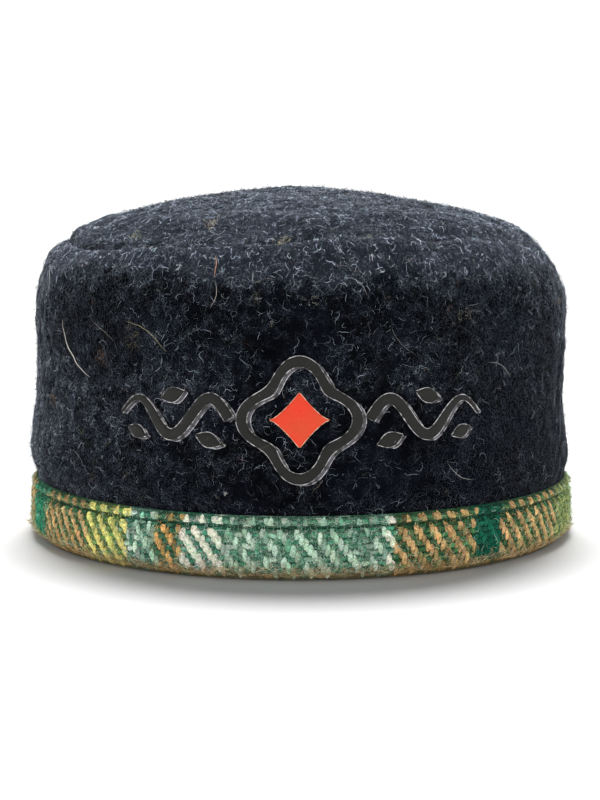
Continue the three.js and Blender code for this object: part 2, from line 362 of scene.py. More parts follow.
def wool_material():
    """Milled wool: nearly black, with dim curling fibres that gather in clumps, paler where the yarn
    attribute holds the nap's painted light.
    """
    material, tree = new_material("milled_wool")
    where = object_place(tree)
    cloudy = noise_value(tree, where, 55, detail=3)
    clumps = noise_value(tree, where, 260, detail=3)
    fine = noise_value(tree, where, 2400)
    lines = [curly_lines(tree, 520, 0.013, (0.0, 0.0, 0.0)),
             curly_lines(tree, 880, 0.021, (0.31, 0.17, 0.05)),
             curly_lines(tree, 1500, 0.030, (0.11, 0.43, 0.29))]
    pale_and_lit_here = node(tree, "Attribute", attribute_name="yarn").outputs["Fac"]
    dark, dim = (0.0006, 0.0009, 0.0016, 1), (0.0024, 0.0033, 0.0056, 1)
    colour = mix(tree, ramp(tree, clumps, 0.40, 0.7), dark, dim)
    colour = mix(tree, ramp(tree, cloudy, 0.4, 0.7, 0.0, 0.5), colour, (0.0036, 0.0052, 0.0105, 1))
    # painted light and shade: the attribute lightens the ground and gathers pale lines where the nap is
    # painted as lit
    colour = mix(tree, ramp(tree, pale_and_lit_here, 0.5, 1.4), colour, (0.0134, 0.0166, 0.0248, 1))
    pale = mix(tree, ramp(tree, fine, 0.35, 0.7), (0.010, 0.013, 0.021, 1), (0.18, 0.21, 0.26, 1))
    in_clumps = ramp(tree, clumps, 0.42, 0.64, 0.16, 1.2)
    gathered = times(tree, in_clumps, ramp(tree, pale_and_lit_here, 0.0, 1.3, 0.2, 2.6))
    for line, share in zip(lines, (0.7, 0.65, 0.5)):
        shown = times(tree, times(tree, line, gathered), share)
        colour = mix(tree, math_node(tree, "MINIMUM", shown, 1.0), colour, pale)
    height = weighted(tree, (lines[0], 0.3), (lines[1], 0.2), (clumps, 2.0), (fine, 0.2))
    return finished(material, colour, (height, 0.8, 0.0005), Roughness=0.95, Sheen_Weight=0.30,
                    Sheen_Roughness=0.16, Sheen_Tint=(0.66, 0.76, 0.92, 1), Specular_IOR_Level=0.03)


def fibre_material(name, roughness):
    material, tree = new_material(name)
    own = node(tree, "Attribute", attribute_name="yarn").outputs["Color"]
    fine = noise_value(tree, object_place(tree), 1500)
    colour = mix(tree, ramp(tree, fine, 0.3, 0.7, 0.25, 0.0), own, (0.004, 0.005, 0.007, 1))
    return finished(material, colour, (fine, 0.3, 0.0001), Roughness=roughness, Specular_IOR_Level=0.04)


def yarn_material():
    """Woollen yarn: its own colour, streaked, with pale hairs where the yarn is a heather."""
    material, tree = new_material("tweed_yarn")
    own = node(tree, "Attribute", attribute_name="yarn")
    where = object_place(tree)
    streaks = noise_value(tree, where, 1250, detail=3, distortion=1.2)
    patches = noise_value(tree, where, 700)
    hairs = curly_lines(tree, 1300, 0.05, (0.2, 0.1, 0.4))
    shade = mix(tree, ramp(tree, streaks, 0.3, 0.7), (0.58, 0.57, 0.54, 1), (1.62, 1.62, 1.62, 1))
    colour = mix(tree, 1.0, own.outputs["Color"], shade, "MULTIPLY")
    colour = mix(tree, ramp(tree, patches, 0.5, 0.8, 0.0, 0.35), colour, (0.015, 0.09, 0.05, 1))
    colour = mix(tree, times(tree, hairs, own.outputs["Alpha"]), colour, (0.62, 0.72, 0.60, 1))
    height = weighted(tree, (streaks, 1.0), (hairs, 0.5))
    return finished(material, colour, (height, 0.7, 0.0003), Roughness=0.95, Sheen_Weight=0.05,
                    Sheen_Roughness=0.4, Specular_IOR_Level=0.05)


def black_material():
    material, tree = new_material("black_applique")
    where = object_place(tree)
    grain = noise_value(tree, where, 1900, detail=4)
    wear = noise_value(tree, where, 130, detail=3, distortion=0.8)
    scuffs = curly_lines(tree, 160, 0.006, (0.5, 0.2, 0.1))
    colour = mix(tree, ramp(tree, wear, 0.35, 0.7), (0.0050, 0.0057, 0.0040, 1), (0.0105, 0.0112, 0.0086, 1))
    colour = mix(tree, times(tree, scuffs, 0.25), colour, (0.07, 0.07, 0.06, 1))
    return finished(material, colour, (grain, 0.35, 0.0001), Roughness=ramp(tree, wear, 0.3, 0.7, 0.5, 0.72),
                    Specular_IOR_Level=0.25)


def orange_material():
    material, tree = new_material("orange_applique")
    where = object_place(tree)
    grain = noise_value(tree, where, 1700, detail=4)
    cloudy = noise_value(tree, where, 60)
    colour = mix(tree, ramp(tree, cloudy, 0.35, 0.65), (0.74, 0.036, 0.008, 1), (0.64, 0.060, 0.015, 1))
    colour = mix(tree, ramp(tree, grain, 0.45, 0.75, 0.0, 0.12), colour, (0.9, 0.20, 0.10, 1))
    return finished(material, colour, (grain, 0.3, 0.0001), Roughness=0.6, Specular_IOR_Level=0.3)


def edging_material(name, dark, pale):
    """Worn silvery edging, whose dark backing shows here and there."""
    material, tree = new_material(name)
    where = object_place(tree)
    broken = noise_value(tree, where, 520, detail=3)
    fine = noise_value(tree, where, 2600)
    colour = mix(tree, ramp(tree, broken, 0.40, 0.57), dark, pale)
    colour = mix(tree, ramp(tree, fine, 0.45, 0.7, 0.0, 0.6), colour, dark)
    return finished(material, colour, (fine, 0.5, 0.0001), Roughness=0.5, Specular_IOR_Level=0.5)


# The crown's wool

NAP_DEPTH = 1.2  # the top's cloth lies this much lower, under its nap
CLOSED_SEAM = 52  # the azimuth where top and side are pressed together and the seam hardly shows
CLOSED_SPREAD = 80
SIDE_COLUMNS = 432
SIDE_ROWS = 84
SIDE_INNER_ROWS = 16
TOP_COLUMNS = 400
TOP_ROWS = 84
TOP_INNER_ROWS = 18
LAST_SHARE = 0.004  # the innermost ring of the top, closed by one point


def columns_round(count):
    return np.arange(count) / count * TURN


def joined(*parts):
    """Parts of a section, each a pair of insets and heights or of shares and heights, as one line."""
    columns = max(np.shape(value)[0] for part in parts for value in part if np.ndim(value))
    rows = [[np.broadcast_to(value, (columns, np.shape(part[1])[-1])) for value in part] for part in parts]
    return [np.concatenate(pieces, axis=1) for pieces in zip(*rows)]


def closed_share(azimuth):
    """How closed the seam between side and top is, from 0 to 1."""
    away = turn_between(azimuth, CLOSED_SEAM) / math.radians(CLOSED_SPREAD)
    return bump(away ** 2, 1.0)


def side_sections(azimuth):
    """The side's outer and inner faces at each azimuth, as lines of points."""
    azimuth = azimuth[:, None]
    seam = SEAM_HEIGHT + front_lift(azimuth)
    chest = side_inset(azimuth, SHOULDER_START)
    roll_inset = SEAM_INSET - ROLL_REACH
    roll_height = seam + ROLL_ABOVE_SEAM
    wall = np.linspace(HEM_HEIGHT, SHOULDER_START, 120)[None, :]
    turn = np.linspace(0, math.pi / 2, 40)[None, :]
    down = np.linspace(0, 1, 12)[None, :]
    foot = seam - SEAM_ALLOWANCE
    insets, heights = joined(
        (side_inset(azimuth, wall), wall + 0 * azimuth),
        (lerp(chest, roll_inset, 1 - np.cos(turn)), lerp(SHOULDER_START, roll_height, np.sin(turn))),
        (roll_inset + ROLL_REACH * np.sin(turn), seam + ROLL_ABOVE_SEAM * np.cos(turn)),
        (SEAM_INSET + 0 * down * seam, lerp(seam, foot, down)),
    )
    outer = place(azimuth, insets - spotted(NAP_SPOTS, azimuth, heights), heights)
    flange = SEAM_INSET - WOOL
    inner_chest = chest + WOOL
    last_turn = np.arccos(1 - (flange - inner_chest) / (roll_inset - inner_chest))
    under = last_turn * (1 - down)
    inner_wall = np.linspace(SHOULDER_START, HEM_HEIGHT, 60)[None, :]
    insets, heights = joined(
        (lerp(SEAM_INSET, flange, down) + 0 * seam, foot + 0 * down),
        (lerp(inner_chest, roll_inset, 1 - np.cos(under)),
         lerp(SHOULDER_START, roll_height - WOOL, np.sin(under))),
        (side_inset(azimuth, inner_wall) + WOOL, inner_wall + 0 * azimuth),
    )
    return outer, place(azimuth, insets - spotted(NAP_SPOTS, azimuth, heights), heights)


def top_sections(azimuth):
    """The top's outer face and, from its middle outwards, its inner one, as lines of points."""
    azimuth = azimuth[:, None]
    seam = SEAM_HEIGHT + front_lift(azimuth)
    foot = seam - SEAM_ALLOWANCE
    turn = np.linspace(0, math.pi / 2, 50)[None, :]
    up = np.linspace(0, 1, 12)[None, :]
    to_middle = np.linspace(1 - EDGE_REACH / MEAN_TOP_RADIUS, LAST_SHARE, 90)[None, 1:]

    def row(share, rise):
        return share + 0 * azimuth, top_height(azimuth, share, rise)

    closed = closed_share(azimuth)
    from_rim = lerp((1 - np.cos(turn)) ** 1.4, turn / (math.pi / 2), 0.8 * closed)
    rise = EDGE_RISE - NAP_DEPTH
    edge = row(1 - EDGE_REACH * from_rim / MEAN_TOP_RADIUS, lerp(1.3 * closed, rise, np.sin(turn)))
    shares, heights = joined((1 + 0 * up * seam, lerp(foot, edge[1][:, :1], up)), edge, row(to_middle, rise))
    outer = place(azimuth, SEAM_INSET + GAP, heights, shares)
    rise = rise - WOOL
    edge = row(1 - lerp(WOOL, EDGE_REACH, from_rim) / MEAN_TOP_RADIUS, rise * np.sin(turn))
    inner_share = 1 - WOOL / MEAN_TOP_RADIUS
    shares, heights = joined(
        (lerp(1, inner_share, up) + 0 * seam, foot + 0 * up),
        (inner_share + 0 * up * seam, lerp(foot, edge[1][:, :1], up)),
        edge, row(to_middle, rise),
    )
    return outer, place(azimuth, SEAM_INSET + GAP, heights, shares)[:, ::-1]


def azimuth_of(points):
    return np.arctan2(points[..., 0], -points[..., 1])


def paleness_and_painted_light(points):
    """How pale the nap is, from 0 to about 1, with painted light and shade in it: cloudy, darker in front,
    paler on the top and the shoulder as lit from above, and darker in the open crease above the seam.
    """
    azimuth, height = azimuth_of(points), points[..., 2]
    pale = 0.41 + 0.28 * noise(points, 36.0, 71) + 0.22 * noise(points, 9.0, 72)
    # painted light: paler on the top and the shoulder, as lit from above; then less pale towards the dome's
    # middle
    pale = pale + 1.04 * smooth(height, 94, 101) - 0.40 * smooth(height, 104, 116)
    pale = pale + spotted(NAP_AND_LIGHT_PATCHES, azimuth, height)
    across, deep = HALF_WIDTH + plan_swell(azimuth), HALF_DEPTH + plan_swell(azimuth)
    inset = (1 - np.hypot(points[..., 0] / across, points[..., 1] / deep)) * MEAN_TOP_RADIUS * 1.16
    above_seam = height - SEAM_HEIGHT - front_lift(azimuth)
    # painted shade: darker in the crease just above the seam, where the seam stays open
    painted_valley_shade = bump(above_seam - 2.5, 3.2) * bump(inset - SEAM_INSET - 2.0, 2.4)
    return np.clip(pale - 1.5 * painted_valley_shade * (1 - closed_share(azimuth)), 0.02, 1.5)


def clumping(points):
    """From 0 in the gaps between the nap's tufts to 1 on them."""
    return smooth(noise(points, 4.6, 73) + 0.5 * noise(points, 2.3, 74), -0.42, 0.42)


def felt_relief(points, seed):
    """The lumps of a milled cloth. They are held back under the ornament, which lies flat on it."""
    near_ornament = bump(azimuth_of(points), math.radians(46)) * bump(points[..., 2] - MOTIF_HEIGHT, 20)
    lumps = 0.30 * noise(points, 24.0, seed) + 0.32 * noise(points, 8.0, seed + 1)
    nap = 0.44 * noise(points, 3.8, seed + 2) + 0.15 * noise(points, 1.9, seed + 3)
    puffs = 1.5 * noise(points, 11.0, seed + 4) * bump(points[..., 2] - 102, 9)
    return lumps * (1 - 0.8 * near_ornament) + nap + puffs


def felted(lines, rows, seed, still_rows):
    """The grid of lines cut into rows, with relief that fades out over the first and last still_rows."""
    points = np.stack([cut_evenly(line, rows) for line in lines])
    row, (first, last) = np.arange(rows), still_rows
    fade = smooth(row, 0, first) * smooth(rows - 1 - row, 0, last)
    return points + grid_normals(points) * (felt_relief(points, seed) * fade)[..., None]


def wool_piece(name, points, triangles, material, replaced):
    # how pale the nap is, with its painted light and shade, dimmed in the gaps between tufts: partly the
    # gaps' own dark wool, partly painted shade
    pale = paleness_and_painted_light(points) * (0.74 + 0.62 * clumping(points))
    colours = np.repeat(pale[:, None], 4, axis=1)
    make_piece(name, points, triangles, material, colours, replaced)


def wool_side(material):
    outer, inner = side_sections(columns_round(SIDE_COLUMNS))
    outer = felted(outer, SIDE_ROWS, 11, (14, 7))
    inner = felted(inner, SIDE_INNER_ROWS, 15, (6, 4))
    points, triangles = bar(np.concatenate([outer, inner[:, 1:-1]], axis=1), endless=True)
    wool_piece("crown_side_wool", points, triangles, material, "crown_side")
    return outer


def wool_top(material):
    outer, inner = top_sections(columns_round(TOP_COLUMNS))
    outer = felted(outer, TOP_ROWS, 21, (7, 3))
    inner = felted(inner, TOP_INNER_ROWS, 25, (3, 8))
    grid = np.concatenate([outer, inner[:, :-1]], axis=1)
    rows = grid.shape[1]
    points, triangles = bar(grid, endless=True)
    between = np.isin(triangles % rows, [TOP_ROWS - 1, TOP_ROWS]).all(axis=1)
    ring = np.arange(TOP_COLUMNS) * rows + TOP_ROWS
    middles = fan(ring - 1, len(points)), fan(ring, len(points) + 1, flipped=True)
    points = np.concatenate([points, outer[:, -1:].mean(axis=0), inner[:, :1].mean(axis=0)])
    triangles = np.concatenate([triangles[~between], *middles])
    wool_piece("crown_top_wool", points, triangles, material, "crown_top")
    return outer


# Fibres

def cloth(outer, from_middle):
    """Returns a map from a cloth laid flat to places and normals on it, the mean length of the grid's
    columns, and a function from an azimuth and a height to a place on the flat cloth. The side lies in
    millimetres round the cap and up from the hem, and the top with its middle at (0, 0)."""
    grids = outer, grid_normals(outer)
    columns, rows = outer.shape[:2]
    reach = np.linalg.norm(np.diff(outer, axis=1), axis=2).sum(axis=1).mean()

    def read(column, row):
        row = np.clip(row, 0, rows - 1.001)
        left, below = np.floor(column).astype(int), np.floor(row).astype(int)
        u, v = (column - left)[..., None], (row - below)[..., None]
        here, there = left % columns, (left + 1) % columns
        lows, highs = ([lerp(grid[here, at_row], grid[there, at_row], u) for grid in grids]
                       for at_row in (below, below + 1))
        return lerp(lows[0], highs[0], v), unit(lerp(lows[1], highs[1], v))

    def at(x, y):
        if from_middle:
            return read(np.arctan2(x, -y) % TURN / TURN * columns, (1 - np.hypot(x, y) / reach) * (rows - 1))
        return read(x / CIRCUMFERENCE * columns, y / reach * (rows - 1))

    def find(azimuth, height):
        turn = math.radians(azimuth)
        heights = outer[int(turn % TURN / TURN * columns), :, 2]
        row = np.argmin(np.abs(heights[:rows // 2 if from_middle else rows - 8] - height))
        if from_middle:
            distance = reach * (1 - row / (rows - 1))
            return distance * math.sin(turn), -distance * math.cos(turn)
        return turn * HALF_WIDTH, reach * row / (rows - 1)

    return at, reach, find


def fibre_paths(rng, at, x, y, look):
    """Curling lines of points that start at x, y on a cloth and lie on it or stand off it."""
    count, steps = len(x), look["steps"]
    length = rng.uniform(*look["length"], count)
    bend = rng.normal(0, look["curl"], count)[:, None] / steps
    wobble = rng.normal(0, look["curl"] * 0.35, (count, steps))
    heading = rng.uniform(0, TURN, count)[:, None] + np.cumsum(bend + wobble, axis=1)
    step = (length / steps)[:, None]
    start = np.zeros((count, 1))
    xs = x[:, None] + np.concatenate([start, np.cumsum(step * np.cos(heading), axis=1)], axis=1)
    ys = y[:, None] + np.concatenate([start, np.cumsum(step * np.sin(heading), axis=1)], axis=1)
    part = np.linspace(0, 1, steps + 1)[None, :]
    stands = (rng.random(count) < look["free"])[:, None]
    shape = np.where(stands, part ** 1.4, np.sin(math.pi * part) ** 0.8)
    lift = look["lift"] * rng.uniform(0.25, 1.0, count)[:, None] * shape
    lift = lift * (1 + 0.6 * np.sin(rng.uniform(0, TURN, (count, 1)) + part * rng.uniform(3, 9, (count, 1))))
    points, normals = at(xs, ys)
    points = points + normals * (lift + 0.02)[..., None]
    points[..., 2] = np.maximum(points[..., 2], 0.07)
    return points, normals


def ribbon_piece(name, rng, points, normals, width, colours, material):
    """A piece made of a narrow ribbon along each line of points, tapered at both ends."""
    count, along = points.shape[:2]
    tangent = unit(np.gradient(points, axis=1))
    twist = rng.uniform(-1.0, 1.0, count)[:, None, None]
    facing = normals * np.cos(twist) + np.cross(tangent, normals) * np.sin(twist)
    across = unit(np.cross(tangent, facing))
    part = np.linspace(0, 1, along)[None, :, None]
    half = width[:, None, None] / 2 * np.clip(4 * part * (1 - part), 0.12, 1) ** 0.6
    edges = np.stack([points - across * half, points + across * half], axis=2)
    first = (np.arange(count)[:, None] * along + np.arange(along - 1)[None, :]) * 2
    triangles = np.stack([first, first + 1, first + 3, first, first + 3, first + 2], -1).reshape(-1, 3)
    colours = np.repeat(np.column_stack([colours, np.zeros(count)]), 2 * along, axis=0)
    make_piece(name, edges.reshape(-1, 3), triangles, material, colours)


def fibre_piece(name, rng, at, starts, look, colours, material):
    points, normals = fibre_paths(rng, at, *starts, look)
    width = rng.uniform(*look["width"], len(points))
    ribbon_piece(name, rng, points, normals, width, colours, material)


def recolour(rng, colours, chosen, tint, low, high):
    colours[chosen] = tint * rng.uniform(low, high, (chosen.sum(), 1))


WARM_TINTS = np.array([[0.40, 0.28, 0.17], [0.42, 0.37, 0.26], [0.26, 0.13, 0.07], [0.42, 0.38, 0.20]])


def wool_fibre_colours(rng, pale, low, high, warm_share):
    """Mostly dim blue-greys with a few bright ones, and now and then a beige or orange-brown fibre."""
    count = len(pale)
    bright = low + (high - low) * rng.random(count) ** 2.6
    tint = np.array([0.78, 0.89, 1.04]) * rng.uniform(0.92, 1.08, (count, 3))
    # fibres are brighter where the nap is paler, so they carry its painted light and shade too
    colours = (bright * (0.3 + 1.0 * pale))[:, None] * tint
    warm = rng.random(count) < warm_share
    recolour(rng, colours, warm, WARM_TINTS[rng.integers(0, len(WARM_TINTS), warm.sum())], 0.4, 1.1)
    return colours


PALE_FIBRE = {  # lift is how far a fibre stands off the cloth, and free the share with a free end
    "length": (0.9, 4.2), "steps": 5, "curl": 2.5, "lift": 0.65, "free": 0.3, "width": (0.030, 0.072)}
TOP_FIBRE = dict(PALE_FIBRE, curl=2.8, free=0.2)
STRAY_FIBRE = dict(PALE_FIBRE, length=(2.0, 7.0), lift=1.3, width=(0.045, 0.10))
SEAM_FIBRE = dict(PALE_FIBRE, length=(1.5, 5.0), lift=1.5)
DARK_FIBRE = dict(PALE_FIBRE, length=(1.2, 3.4), steps=4, curl=1.4, lift=1.0, free=0.6, width=(0.10, 0.20))
NAP_FIBRES = [  # each piece's name, how many fibres, their look, and how dark and how bright they get
    ("side_pale_fibres", 25500, PALE_FIBRE, 0.02, 1.45),
    ("side_dark_fibres", 4000, DARK_FIBRE, 0.002, 0.014),
    ("stray_fibres", 1900, STRAY_FIBRE, 0.10, 0.75),
    ("seam_fibres", 1800, SEAM_FIBRE, 0.03, 0.35),
    ("top_pale_fibres", 15500, TOP_FIBRE, 0.02, 1.20),
    ("top_dark_fibres", 2500, DARK_FIBRE, 0.002, 0.016),
]
SEAM_MARGIN = 0.8  # fibres start at least this far from the turned-down seam


def side_starts(rng, count, reach, covered):
    """Random places on the side above the binding, away from the ornament."""
    x, y = np.empty(0), np.empty(0)
    while len(x) < count:
        more_x = rng.uniform(-CIRCUMFERENCE / 2, CIRCUMFERENCE / 2, count)
        more_y = rng.uniform(BINDING_HEIGHT - HEM_HEIGHT + 0.4, reach - SEAM_ALLOWANCE - SEAM_MARGIN, count)
        free = ~covered(more_x, more_y + HEM_HEIGHT)
        x, y = np.append(x, more_x[free]), np.append(y, more_y[free])
    return x[:count], y[:count]


def top_starts(rng, count, reach):
    distance = (reach - SEAM_ALLOWANCE - SEAM_MARGIN) * np.sqrt(rng.random(count))
    azimuth = rng.uniform(0, TURN, count)
    return distance * np.sin(azimuth), -distance * np.cos(azimuth)


def wool_fibres(side_outer, top_outer, covered, material):
    """The nap: knots, single long hairs, and the pieces of plain fibres."""
    side, top = cloth(side_outer, from_middle=False), cloth(top_outer, from_middle=True)
    tangles(side, top, material)
    long_hairs(side, material)
    rng = np.random.default_rng(31)
    for name, count, look, low, high in NAP_FIBRES:
        on_top = name.startswith("top")
        at, reach, _ = top if on_top else side
        starts = top_starts(rng, count, reach) if on_top else side_starts(rng, count, reach, covered)
        if look is SEAM_FIBRE:
            starts = starts[0], reach - SEAM_ALLOWANCE - rng.uniform(0.2, 5.0, count)
            kept = rng.random(count) < 0.25 + 0.75 * closed_share(starts[0] / HALF_WIDTH)
            starts = [values[kept] for values in starts]
        places = at(*starts)[0]
        # how pale the nap is, painted light and shade included, sets how many fibres are kept and how bright
        # they are
        pale = np.full(count, 0.6) if look is STRAY_FIBRE else paleness_and_painted_light(places)
        if look not in (STRAY_FIBRE, DARK_FIBRE):
            kept = rng.random(len(pale)) < (0.16 + 0.85 * pale) * (0.55 + clumping(places))
            starts, pale = [values[kept] for values in starts], pale[kept]
        colours = wool_fibre_colours(rng, pale, low, high, 0.0 if look is DARK_FIBRE else 0.022)
        fibre_piece(name, rng, at, starts, look, colours, material)


TANGLES = [  # knots of fibre: the azimuth and height of each, how many fibres, how far across, and the tint
    (-4, 104, 34, 2.2, (0.66, 0.58, 0.36)),
    (-3, 101, 30, 3.2, (0.52, 0.43, 0.30)),
    (-23, 108, 32, 2.4, (0.70, 0.60, 0.48)),
    (-45, 104, 26, 2.4, (0.56, 0.56, 0.40)),
    (-63, 50, 20, 1.7, (0.36, 0.24, 0.15)),
    (-44, 67, 26, 2.6, (0.26, 0.16, 0.10)),
    (-35, 73, 20, 3.0, (0.30, 0.25, 0.14)),
    (-8, 88, 16, 2.0, (0.26, 0.25, 0.20)),
    (-78, 88, 20, 2.4, (0.32, 0.29, 0.27)),
    (17, 103, 22, 2.2, (0.62, 0.60, 0.44)),
    (52, 100, 18, 2.2, (0.34, 0.30, 0.24)),
    (3, 87, 14, 2.4, (0.30, 0.30, 0.26)),
    (71, 80, 16, 2.4, (0.26, 0.24, 0.20)),
    (34, 81, 14, 3.0, (0.32, 0.30, 0.24)),
    (-14, 26.5, 22, 0.5, (0.85, 0.85, 0.83)),
    (128, 60, 22, 2.6, (0.36, 0.28, 0.18)),
    (-120, 82, 22, 2.4, (0.34, 0.32, 0.24)),
    (176, 42, 20, 2.8, (0.30, 0.22, 0.14)),
    (158, 99, 20, 2.6, (0.38, 0.34, 0.22)),
]
TANGLE_FIBRE = dict(PALE_FIBRE, steps=8, curl=3.4, lift=1.2, width=(0.04, 0.10))
TOP_STARTS_ABOVE = 99.5  # a knot higher than this lies on the top's cloth
LONG_HAIRS = [  # the azimuth and height of both ends of each, the bow between them, the width and the tint
    (-58, 77, -48, 60, -2.6, 0.22, (0.86, 0.82, 0.74)),
    (-17.2, 100, -16.8, 93, 1.3, 0.22, (0.74, 0.42, 0.27)),
    (-16.6, 92, -17.2, 84, 1.2, 0.12, (0.60, 0.55, 0.48)),
    (-37, 79, -27, 70, 2.6, 0.13, (0.46, 0.42, 0.24)),
    (-47, 78, -40, 72, 0.8, 0.12, (0.40, 0.34, 0.30)),
    (17.5, 79, 23, 69, -1.2, 0.11, (0.66, 0.62, 0.56)),
    (9, 93, 13, 88, 1.0, 0.09, (0.52, 0.54, 0.58)),
    (-70, 93, -66, 84, 1.0, 0.14, (0.55, 0.55, 0.55)),
    (40, 66, 47, 60, 1.6, 0.11, (0.46, 0.46, 0.44)),
    (30, 34, 36, 29, -1.6, 0.11, (0.60, 0.60, 0.58)),
    (-52, 36, -46, 28, 1.4, 0.11, (0.52, 0.54, 0.58)),
    (110, 70, 118, 58, 2.0, 0.13, (0.50, 0.48, 0.44)),
    (-150, 90, -141, 80, 2.4, 0.13, (0.50, 0.48, 0.44)),
]


def tangles(side, top, material):
    rng = np.random.default_rng(35)
    lines, widths, colours = [], [], []
    for azimuth, height, count, across, tint in TANGLES:
        at, _, find = top if height > TOP_STARTS_ABOVE else side
        xs, ys = (middle + rng.normal(0, across / 2, count) for middle in find(azimuth, height))
        lines.append(fibre_paths(rng, at, xs, ys, dict(TANGLE_FIBRE, length=(0.6, 2.0 * across + 0.4))))
        widths.append(rng.uniform(*TANGLE_FIBRE["width"], count))
        colours.append(np.array(tint) * rng.uniform(0.35, 1.3, (count, 1)))
    paths, normals = (np.concatenate(values) for values in zip(*lines))
    ribbon_piece("nap_tangles", rng, paths, normals, np.concatenate(widths), np.concatenate(colours),
                 material)


def long_hairs(side, material):
    rng = np.random.default_rng(36)
    at, _, find = side
    part = np.linspace(0, 1, 15)
    arch = np.sin(math.pi * part)
    paths, normals = [], []
    for first_azimuth, first_height, last_azimuth, last_height, bow, _, _ in LONG_HAIRS:
        start, end = np.array(find(first_azimuth, first_height)), np.array(find(last_azimuth, last_height))
        way = unit(end - start)
        off = bow * arch + np.cumsum(rng.normal(0, 0.12, part.size)) * arch
        flat = start + (end - start) * part[:, None] + np.array([-way[1], way[0]]) * off[:, None]
        points, normal = at(*flat.T)
        paths.append(points + normal * (0.45 + 0.7 * arch ** 0.7)[:, None])
        normals.append(normal)
    widths, tints = (np.array([hair[index] for hair in LONG_HAIRS]) for index in (-2, -1))
    ribbon_piece("long_hairs", rng, np.stack(paths), np.stack(normals), widths, tints, material)


# The tweed binding

WARPS = 432
PICK = 1.85  # from one weft yarn to the next
WARP_PITCH = CIRCUMFERENCE / WARPS
GROOVE_HEIGHT = 16.6  # the binding is sewn through along a groove at this height
GROOVE_WIDTH = 0.45
YARN_DEPTH = 0.42  # how far the yarns stand out of the cloth's ground

# The binding's section, in insets and heights
OUTER_LEG = [(3.2, 0.0), (1.5, 0.9), (0.4, 3.0), (-0.2, 7.0), (0.0, 12.6), (0.1, 16.0), (1.3, 16.45),
             (1.3, 16.75), (0.1, 17.2), (0.15, 18.7), (0.9, 19.8), (1.7, 19.9), (2.0, 19.2)]
INNER_LEG = [(5.0, 22.0), (6.0, 21.3), (6.0, 12.0), (6.0, 3.0), (5.5, 1.0), (4.6, 0.0)]
HIDDEN_LEG = [(4.4, 21.6), (4.4, 2.8), (3.6, 1.8), (2.4, 1.8), (1.6, 2.8), (1.6, 19.4)]

STRIPES = [  # the tweed's stripes from -125 mm, left of the front, on round the cap; widths in millimetres
    ("green", 17.4), ("orange", 30.6), ("yellow", 18.4), ("teal", 11.4), ("rust", 8.9), ("white", 14.0),
    ("heather", 51.2), ("white", 2.6), ("orange", 29.9), ("dark_green", 11.6), ("orange", 35.5),
    ("olive", 34.0), ("heather", 18.5), ("white", 12.0), ("heather", 30.0), ("orange", 30.0),
    ("dark_green", 12.0), ("orange", 32.0), ("yellow", 18.0), ("teal", 12.0), ("rust", 9.0),
    ("white", 14.0), ("heather", 50.0), ("white", 3.0), ("orange", 30.0), ("dark_green", 12.0),
    ("orange", 36.3),
]
STRIPE_START = -125.0
YARNS = {  # each stripe's warp colour, weft colour, and the share of pale hairs in each
    "green": ((0.035, 0.25, 0.14), (0.025, 0.19, 0.10), 0.10, 0.10),
    "orange": ((0.60, 0.375, 0.165), (0.035, 0.130, 0.050), 0.12, 0.15),
    "rust": ((0.60, 0.35, 0.12), (0.035, 0.14, 0.075), 0.12, 0.25),
    "yellow": ((0.96, 0.86, 0.27), (0.12, 0.24, 0.07), 0.20, 0.20),
    "teal": ((0.22, 0.45, 0.34), (0.025, 0.17, 0.11), 0.60, 0.45),
    "white": ((0.97, 0.97, 0.80), (0.04, 0.25, 0.15), 0.05, 0.35),
    "heather": ((0.40, 0.60, 0.43), (0.030, 0.185, 0.105), 0.80, 0.60),
    "dark_green": ((0.008, 0.125, 0.075), (0.006, 0.105, 0.062), 0.05, 0.05),
    "olive": ((0.33, 0.37, 0.12), (0.12, 0.20, 0.08), 0.20, 0.20),
}
LOWER_EDGE = (0.25, 0.15, 0.05)  # the brown weft stripe along the fold


def rounded(corners, rounds=3, closed=False):
    """A line or loop of corners, each cut back a few times until it is round."""
    points = np.array(corners, float)
    for _ in range(rounds):
        following = np.roll(points, -1, axis=0)
        pairs = np.stack([lerp(points, following, 0.25), lerp(points, following, 0.75)], axis=1)
        if closed:
            points = pairs.reshape(-1, 2)
        else:
            points = np.concatenate([points[:1], pairs[:-1].reshape(-1, 2), points[-1:]])
    return points


def leg_cloth(corners, facing):
    """A map from millimetres round the cap and down a leg of the binding to its face, lifted out of it.
    facing is -1 on the outer leg, whose face looks away from the head, and 1 on the inner one."""
    line = rounded(corners)
    reach = reach_along(line)
    slope = unit(np.gradient(line, axis=0))

    def at(x, along, lift):
        along = np.clip(along, 0, reach[-1])
        inset, height, inward, upward = (np.interp(along, reach, row) for row in (*line.T, *slope.T))
        lift = lift * facing
        height = np.maximum(height - inward * lift, 0.03)
        return place(x / HALF_WIDTH, inset - upward * lift, height)

    return at, reach[-1]


def stripe_of(x):
    """The index of the stripe that each place round the cap lies in."""
    edges = np.cumsum([width for _, width in STRIPES])
    return np.searchsorted(edges, (x - STRIPE_START) % CIRCUMFERENCE).clip(max=len(STRIPES) - 1)


def is_named(stripe, *names):
    return np.array([name in names for name, _ in STRIPES])[stripe]


